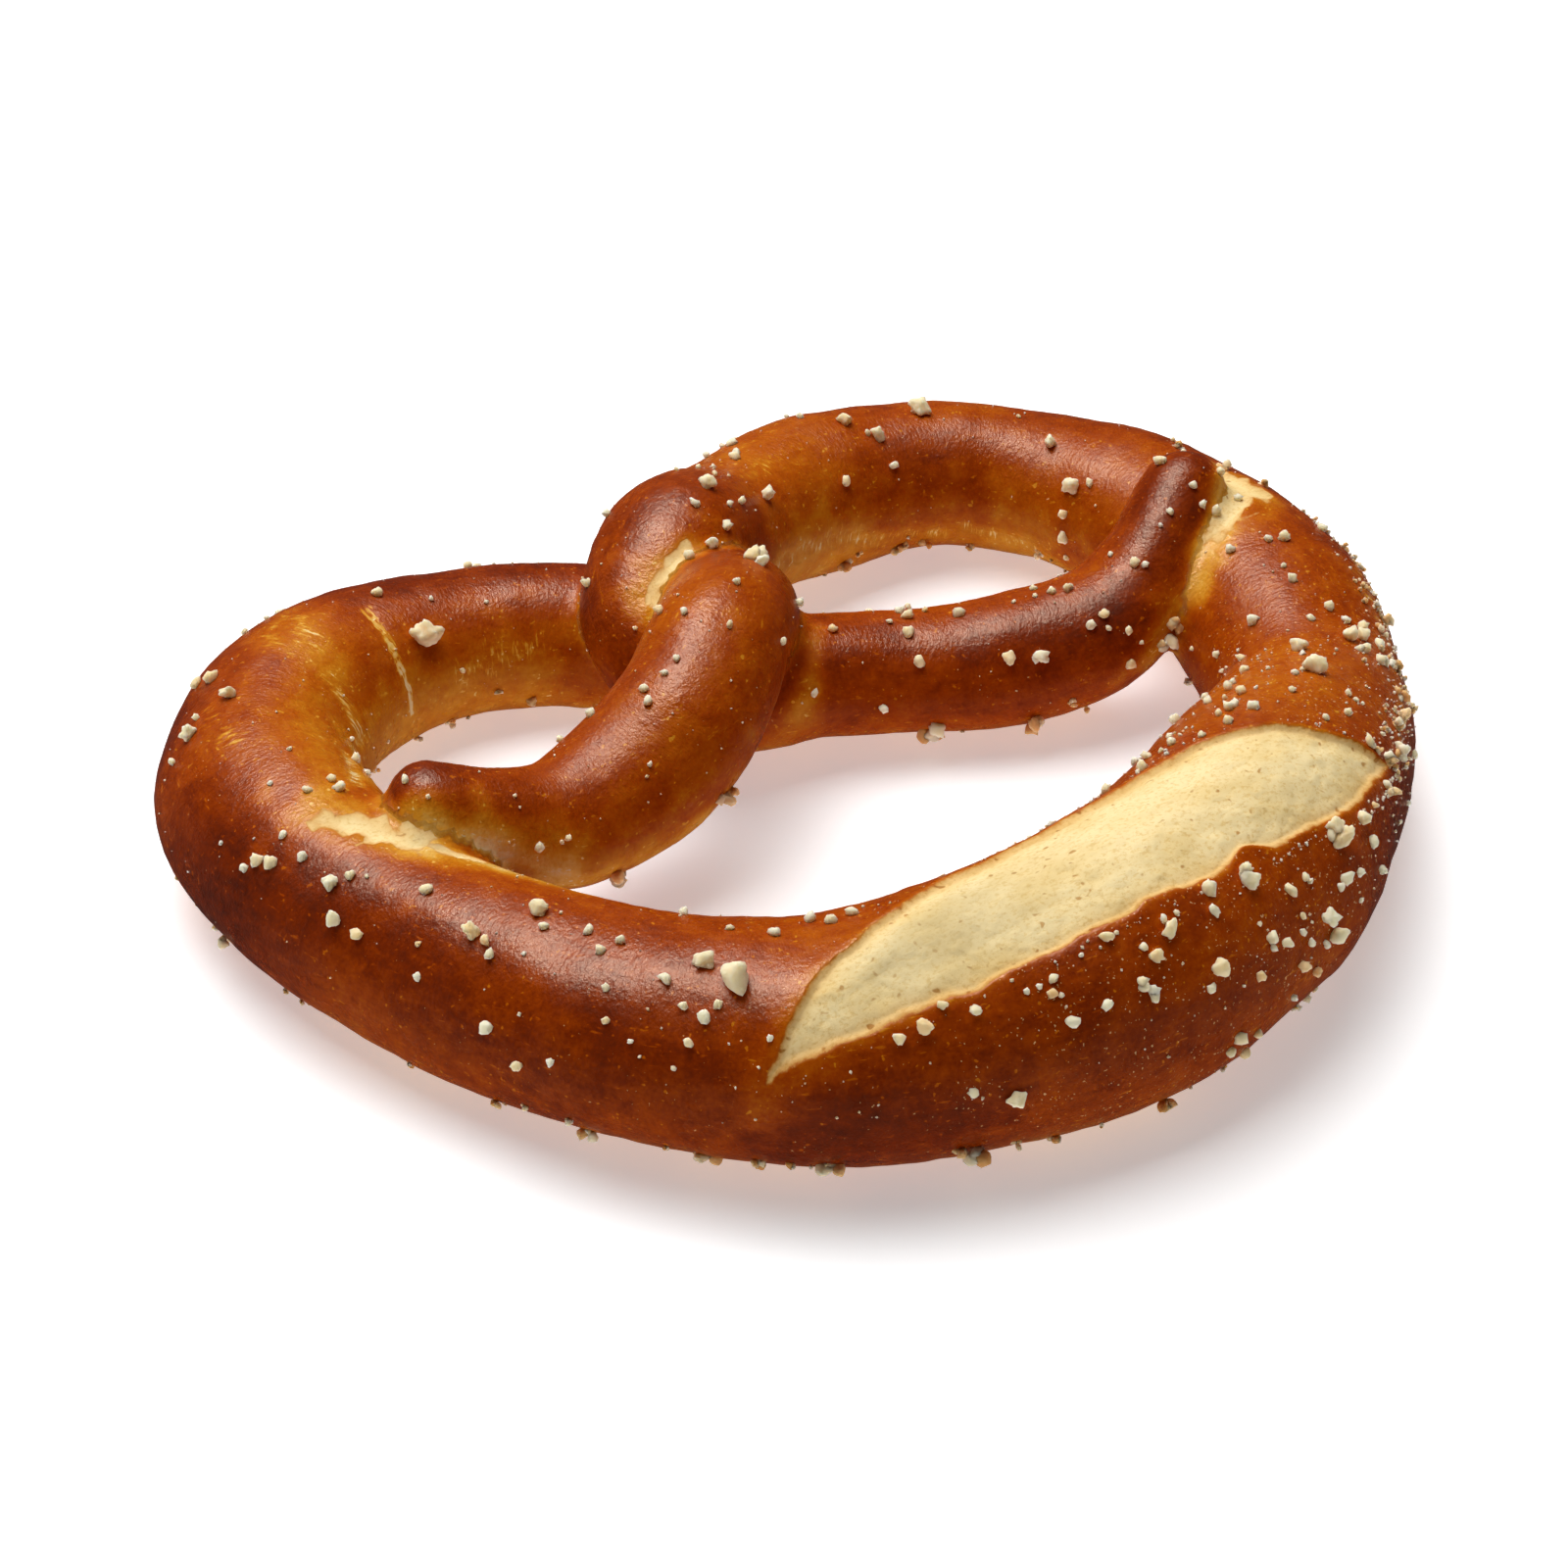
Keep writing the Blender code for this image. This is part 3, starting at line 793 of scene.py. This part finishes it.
def lumps(name, middles, sizes, tones, cuts, seed):
    """One joined mesh of cut balls, turned and stretched at random, with the tone kept on every point."""
    draw = np.random.default_rng(seed)
    points, faces = ball(cuts)
    count = len(middles)
    facing = draw.normal(size=(count, PLANES, 3))
    facing /= np.linalg.norm(facing, axis=2)[:, :, None]
    cosine = np.clip(np.einsum("vk,npk->nvp", points, facing), 0.0, 1.0)
    distance = draw.uniform(*PLANE_DISTANCE, (count, 1, PLANES))
    reach = (1.0 + ((cosine / distance) ** POWER).sum(axis=2)) ** (-1.0 / POWER)
    knob = draw.normal(size=(count, KNOBS, 3))
    knob /= np.linalg.norm(knob, axis=2)[:, :, None]
    bulge = np.exp(KNOB_TIGHTNESS * (np.einsum("vk,npk->nvp", points, knob) - 1.0)).max(axis=2)
    reach *= BETWEEN_KNOBS + KNOB_HEIGHT * bulge + ROUGHNESS * draw.normal(size=reach.shape)
    turn = np.linalg.qr(draw.normal(size=(count, 3, 3)))[0]
    turn[:, 0] *= np.sign(np.linalg.det(turn))[:, None]
    shape = points * reach[:, :, None] * draw.uniform(*STRETCH, (count, 1, 3))
    shape = np.einsum("nvk,nkj->nvj", shape, turn) * sizes[:, None, None] / 2
    all_faces = faces[None] + np.arange(count)[:, None, None] * len(points)
    made = make_object(name, (middles[:, None] + shape).reshape(-1, 3), all_faces.reshape(-1, 4).tolist())
    keep(made, "tone", np.repeat(tones, len(points)))
    made.data.shade_smooth()
    print(f"{name}: {count} lumps, {len(made.data.polygons)} faces")
    return made


print("a coarse lump's ball has", len(ball(5)[1]), "faces, and a grain's has", len(ball(2)[1]))

# %% [markdown]
# The salt is thrown by hand. Bunches that catch the eye are placed: each has one largest grain, and smaller
# ones scattered round it. Loose grains fall at random on what faces up, most thickly on the right half of
# the belly, and none lie in a tear or a seam. Every grain is sunk a little into the skin.

# %% Where the salt falls
BUNCHES = [  # millimetres along the rope, degrees round it, how many grains, the largest in mm
    (230, 70, 1, 4.7), (226, 80, 1, 2.4), (117, 135, 1, 4.4), (420, 90, 1, 3.4), (322, 87, 1, 3.4),
    (201, 68, 2, 2.6), (206, 90, 2, 2.4), (193, 80, 1, 2.0), (204, 58, 1, 1.7), (182, 58, 2, 2.1),
    (185, 42, 2, 2.1), (174, 50, 2, 2.0), (170, 108, 2, 2.0), (142, 56, 1, 2.0), (147, 74, 1, 2.2),
    (151, 52, 2, 2.1), (227, 52, 3, 2.0), (206, 24, 1, 2.0), (215, 77, 1, 1.5), (238, 118, 1, 1.8),
    (244, 118, 1, 1.7), (233, 105, 1, 1.5), (248, 43, 2, 2.5), (253, 46, 1, 1.9), (261, 50, 2, 1.8),
    (255, 3, 1, 2.2), (273, 50, 3, 2.4), (279, 56, 2, 2.0), (284, 51, 2, 2.7), (288, 38, 3, 1.9),
    (283, 28, 3, 1.8), (276, 29, 1, 2.4), (269, 33, 4, 1.8), (292, 6, 3, 2.4), (286, 8, 5, 2.0),
    (278, -8, 4, 1.8), (297, 38, 3, 3.0), (302, 24, 3, 1.8), (308, 108, 5, 1.9), (314, 112, 1, 1.8),
    (319, 126, 2, 1.5), (329, 100, 1, 2.1), (336, 73, 5, 2.4), (334, 55, 4, 2.0), (345, 126, 1, 2.0),
    (349, 96, 2, 1.5), (340, 60, 4, 1.8), (357, 86, 1, 1.8), (367, 92, 1, 1.5), (368, 120, 2, 1.6),
    (392, 138, 2, 2.5), (399, 109, 1, 2.2), (392, 176, 2, 1.6), (428, 108, 2, 2.3), (431, 90, 1, 2.1),
    (451, 80, 2, 1.7), (468, 109, 2, 2.5), (458, 130, 1, 2.2), (475, 140, 1, 2.2), (479, 140, 1, 1.9),
    (60, 65, 3, 2.7), (85, 90, 1, 1.5), (83, 72, 1, 1.8), (49, 110, 1, 1.4), (36, 88, 2, 1.9),
    (497, 13, 1, 1.7), (519, 98, 5, 1.7), (526, 94, 1, 1.8), (519, 72, 1, 1.8), (520, 46, 1, 2.0),
    (543, 52, 3, 1.8), (536, 32, 3, 2.3), (515, 5, 1, 1.5), (522, -20, 2, 2.4), (545, 0, 2, 1.5),
    (549, -6, 1, 2.2), (542, 95, 2, 1.5), (553, 75, 2, 1.5), (568, 120, 1, 1.9), (566, 60, 2, 1.3),
]  # fmt: skip
SPREAD, ROPE_HERE = 2.0, 12.0  # how far a bunch spreads, and the rope's radius under it, in mm
LOOSE_GRAINS, SMALLEST, SIZE_RANGE = 175, 0.7, 1.2
COARSE, COARSE_OUT, FINE_OUT = 2.0, 0.24, 0.15  # over how many mm; how far out the middles lie, in sizes
LEAST_SALT, MORE_SALT = 0.60, 1.1  # how thickly grains lie anywhere, and how much more so on the right


def nearest_points(along_wanted, angle_wanted):
    """The skin point nearest to each place on the rope, measured over the skin."""
    found = np.empty(len(along_wanted), int)
    for index, (place, turn) in enumerate(zip(along_wanted, angle_wanted)):
        round_rope = radius * np.abs((angle - turn + np.pi) % (2 * np.pi) - np.pi)
        found[index] = np.argmin((along - place) ** 2 + round_rope**2)
    return found


def scattered(count, weight):
    """Distinct skin points, drawn at random by their weight."""
    return draw.choice(len(skin), count, replace=False, p=weight / weight.sum())


def over_skin(spots, sizes, share):
    """The middles of grains: each stands over its skin point by the share of its size."""
    return skin[spots] + (share * sizes)[:, None] * normals[spots]


draw = np.random.default_rng(41)
bunch = np.array(BUNCHES, float)
member = np.repeat(np.arange(len(bunch)), bunch[:, 2].astype(int))
leads = np.concatenate([[True], member[1:] != member[:-1]])
offset = np.where(leads[:, None], 0.0, draw.normal(size=(len(member), 2)) * SPREAD)
bunch_angles = np.radians(bunch[member, 1]) + offset[:, 1] / ROPE_HERE
bunch_spots = nearest_points(bunch[member, 0] + offset[:, 0], bunch_angles)
bunch_sizes = bunch[member, 3] * np.where(leads, 1.0, draw.uniform(0.5, 0.95, len(member)))

faces_up = smooth_step(-0.1, 0.7, normals[:, 2])
saltier = LEAST_SALT + MORE_SALT * between((245, 275), (318, 350), along)
loose_spots = scattered(LOOSE_GRAINS, faces_up * saltier * (torn < -0.8) * (gap > 1.0))
loose_sizes = SMALLEST + SIZE_RANGE * draw.power(0.8, len(loose_spots))

spots = np.concatenate([bunch_spots, loose_spots])
sizes = np.concatenate([bunch_sizes, loose_sizes])
coarse = sizes > COARSE
middles = over_skin(spots, sizes, np.where(coarse, COARSE_OUT, FINE_OUT))
tones = np.clip(0.25 + 0.22 * draw.normal(size=len(spots)), 0.0, 1.0)
salt_lumps = lumps("salt_lumps", middles[coarse], sizes[coarse], tones[coarse], 5, 42)
salt_grains = lumps("salt_grains", middles[~coarse], sizes[~coarse], tones[~coarse], 2, 45)

# %% [markdown]
# Between the grains lies salt dust, and round the foot and the rims sit crumbs of salt and dough that were
# baked golden on the tray.

# %% Dust
DUST_GRAINS, DUST_SMALLEST, DUST_RANGE = 1100, 0.22, 0.45
outer_rim = between((308, 322), (362, 372), along) * near(np.degrees(angle), 36.0, 13.0)
dust_weight = (smooth_step(-0.4, 0.5, normals[:, 2]) * saltier**1.5 + 9.0 * outer_rim) * (torn < -0.5)
dust_spots = scattered(DUST_GRAINS, dust_weight)
dust_sizes = DUST_SMALLEST + DUST_RANGE * draw.power(0.4, len(dust_spots))
dust_tones = draw.uniform(0.1, 1.0, len(dust_spots))
salt_dust = lumps("salt_dust", over_skin(dust_spots, dust_sizes, FINE_OUT), dust_sizes, dust_tones, 0, 43)

# %% Toasted crumbs
LARGE_CRUMBS = [  # round the foot and on the rim: millimetres along the rope, degrees round it, size in mm
    (215, -40, 2.2), (227, -38, 2.9), (232, -37, 2.1), (239, -36, 2.7), (252, -34, 3.0), (272, -38, 2.2),
    (34, -24, 2.5), (36, -30, 1.9), (20, -36, 2.7), (521, -44, 3.4), (534, -28, 2.5), (552, -8, 2.2),
    (548, -4, 2.2), (437, 206, 2.2), (426, 208, 1.5), (412, 222, 1.5), (376, 70, 2.0), (384, 66, 1.7),
    (370, 62, 1.5), (346, 32, 2.2), (310, 31, 1.9), (314, 36, 2.2), (318, 33, 2.2), (322, 40, 1.8),
    (326, 34, 2.4), (331, 38, 2.0), (337, 36, 2.4),
]  # fmt: skip
SMALL_CRUMBS, CRUMB_SMALLEST, CRUMB_RANGE = 200, 0.7, 1.3
LUMPS_EACH = 3  # a crumb is a few lumps stuck together
LUMP_SIZE, LUMPS_APART, LEAST_HEIGHT = 0.78, 0.17, 0.45  # as shares of the crumb's size
low_edge = between((0.5, 2.0), (5.0, 9.0), height) * (np.abs(normals[:, 2]) < 0.75)
back_rim = 0.35 * between((372, 385), (440, 460), along) * near(np.degrees(angle), 45.0, 20.0)
crumb_spots = scattered(SMALL_CRUMBS, (low_edge + 5.0 * outer_rim + back_rim) * (torn < -0.8))
high_up = height[crumb_spots] > 9.0
crumb_sizes = CRUMB_SMALLEST + CRUMB_RANGE * draw.power(0.5, len(crumb_spots)) * np.where(high_up, 0.5, 1.0)
large = np.array(LARGE_CRUMBS, float)
crumb_spots = np.concatenate([nearest_points(large[:, 0], np.radians(large[:, 1])), crumb_spots])
crumb_sizes = np.concatenate([large[:, 2], crumb_sizes])
stuck = np.repeat(np.arange(len(crumb_spots)), LUMPS_EACH)
spots, sizes = crumb_spots[stuck], crumb_sizes[stuck]
middles = over_skin(spots, sizes, FINE_OUT)
middles += draw.normal(size=(len(stuck), 3)) * sizes[:, None] * LUMPS_APART
middles[:, 2] = np.maximum(middles[:, 2], LEAST_HEIGHT * sizes)
toasted_crumbs = lumps("toasted_crumbs", middles, LUMP_SIZE * sizes, draw.uniform(0, 1, len(stuck)), 2, 44)

# %% [markdown]
# ### Salt and crumb finishes
#
# Pressed salt scatters light inside its tiny grains, so it gives the eye an even, warm ivory with no
# glitter, and a surface like a sugar lump. A toasted crumb is salt and dough together: from cream to golden
# tan. Both are one kind of finish with their own colours, which run along each lump's own tone.


# %% Salt and crumb materials
def grain_material(name, stops, see_through):
    """A rough, slightly see-through grain: its colour runs along the stops by its own tone."""
    made, grain_tree = new_material(name)
    tone = node(grain_tree, "Attribute", attribute_name="tone").outputs["Fac"]
    shade = node(grain_tree, "ValToRGB", {"Fac": tone}, stops).outputs["Color"]
    place = node(grain_tree, "TexCoord").outputs["Object"]
    sugar_sockets = {"Vector": place, "Scale": 1 / (0.35 * MM), "Detail": 3.0}
    sugar = node(grain_tree, "TexNoise", sugar_sockets).outputs["Fac"]
    rough_skin = node(grain_tree, "Bump", {"Distance": 0.07 * MM, "Height": sugar}).outputs["Normal"]
    sockets = {"Base Color": shade, "Normal": rough_skin, "Roughness": 0.85, "IOR": 1.25}
    sockets |= {"Subsurface Weight": see_through, "Subsurface Radius": (0.9, 0.95, 1.0)}
    sockets["Subsurface Scale"] = 1.2 * MM
    grain_finish = node(grain_tree, "BsdfPrincipled", sockets)
    node(grain_tree, "OutputMaterial", {"Surface": grain_finish.outputs[0]})
    return made


salt = grain_material("pressed_salt", [(0.0, "#FFECC6"), (0.5, "#FDD8A4"), (1.0, "#ECB478")], 0.9)
toasted = grain_material("toasted_crumb", [(0.0, "#FFE9C4"), (0.5, "#F2C288"), (1.0, "#CC8A42")], 0.8)
for piece, finish in [(salt_lumps, salt), (salt_grains, salt), (salt_dust, salt), (toasted_crumbs, toasted)]:
    piece.data.materials.append(finish)
    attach(piece, "root")
print("the salt, its dust and the toasted crumbs ride on the dough's body")

# %% [markdown]
# ## Floor, light and camera
#
# The pretzel lies on a plain white table. A softbox hangs over it, a little to the back, so each strand
# carries one soft highlight along its top, and the table throws light back onto the undersides. It is made
# as two lights in one place: a wide one that only shades, so that shadows stay soft, and a smaller,
# stronger one that only shines. The room is nearly dark: gloss shows whatever is round it, so a bright room
# would lay a grey haze over the brown flanks. The camera looks down at 37 degrees from the front left
# through a long lens, which keeps the far loop nearly as large as the near one.

# %% Floor
FLOOR_SIZE = 6000.0  # mm
corners = np.array([(-1, -1, 0), (1, -1, 0), (1, 1, 0), (-1, 1, 0)]) * FLOOR_SIZE / 2
floor = make_object("floor", corners, [[0, 1, 2, 3]])
white, tree = new_material("white_table")
table_sockets = {"Base Color": colour("#F4F4F4"), "Roughness": 0.7, "Emission Color": colour("#FFFFFF")}
table = node(tree, "BsdfPrincipled", {**table_sockets, "Emission Strength": 0.40})
node(tree, "OutputMaterial", {"Surface": table.outputs[0]})
floor.data.materials.append(white)
floor.visible_glossy = False  # a white table mirrored at a glancing angle would frost every outline
print("the table is", FLOOR_SIZE * MM, "m wide")

# %% Light
ROOM_LIGHT = 0.05
world = bpy.data.worlds.new("dim_room")
world.use_nodes = True
world.node_tree.nodes["Background"].inputs["Color"].default_value = colour("#FFFFFF")
world.node_tree.nodes["Background"].inputs["Strength"].default_value = ROOM_LIGHT
bpy.context.scene.world = world
bpy.context.scene.view_settings.view_transform = "Standard"


def softbox(name, place, width, power, seen_by):
    """A square area light at the place, facing the pretzel, which gives "diffuse" or "glossy" light."""
    lamp = bpy.data.lights.new(name, "AREA")
    lamp.shape, lamp.size, lamp.energy = "SQUARE", width, power
    made = bpy.data.objects.new(name, lamp)
    made.location = place
    made.rotation_euler = Vector(place).to_track_quat("Z", "Y").to_euler()
    made.visible_diffuse = seen_by == "diffuse"
    made.visible_glossy = seen_by == "glossy"
    bpy.context.scene.collection.objects.link(made)
    return made


OVERHEAD = (0.0, 0.46, 1.0)  # metres
wide = softbox("overhead_softbox", OVERHEAD, width=1.2, power=18.0, seen_by="diffuse")
bright = softbox("highlight_softbox", OVERHEAD, width=0.55, power=44.0, seen_by="glossy")
print("the softboxes are", [round(lamp.data.size, 2) for lamp in (wide, bright)], "m wide")

# %% Camera
AZIMUTH, ELEVATION, DISTANCE = math.radians(-33.0), math.radians(37.0), 527.6 * MM
LOOK_AT = Vector((-10.8, -0.8, 15.0)) * MM
FOCAL_LENGTH, SENSOR_WIDTH = 100.0, 36.0
level = math.cos(ELEVATION)
away = Vector((math.sin(AZIMUTH) * level, -math.cos(AZIMUTH) * level, math.sin(ELEVATION)))
lens = bpy.data.cameras.new("camera")
lens.lens, lens.sensor_width = FOCAL_LENGTH, SENSOR_WIDTH
camera = bpy.data.objects.new("camera", lens)
camera.location = LOOK_AT + DISTANCE * away
camera.rotation_euler = away.to_track_quat("Z", "Y").to_euler()
bpy.context.scene.collection.objects.link(camera)
bpy.context.scene.camera = camera
print("the camera stands", round(DISTANCE, 3), "m from what it looks at")
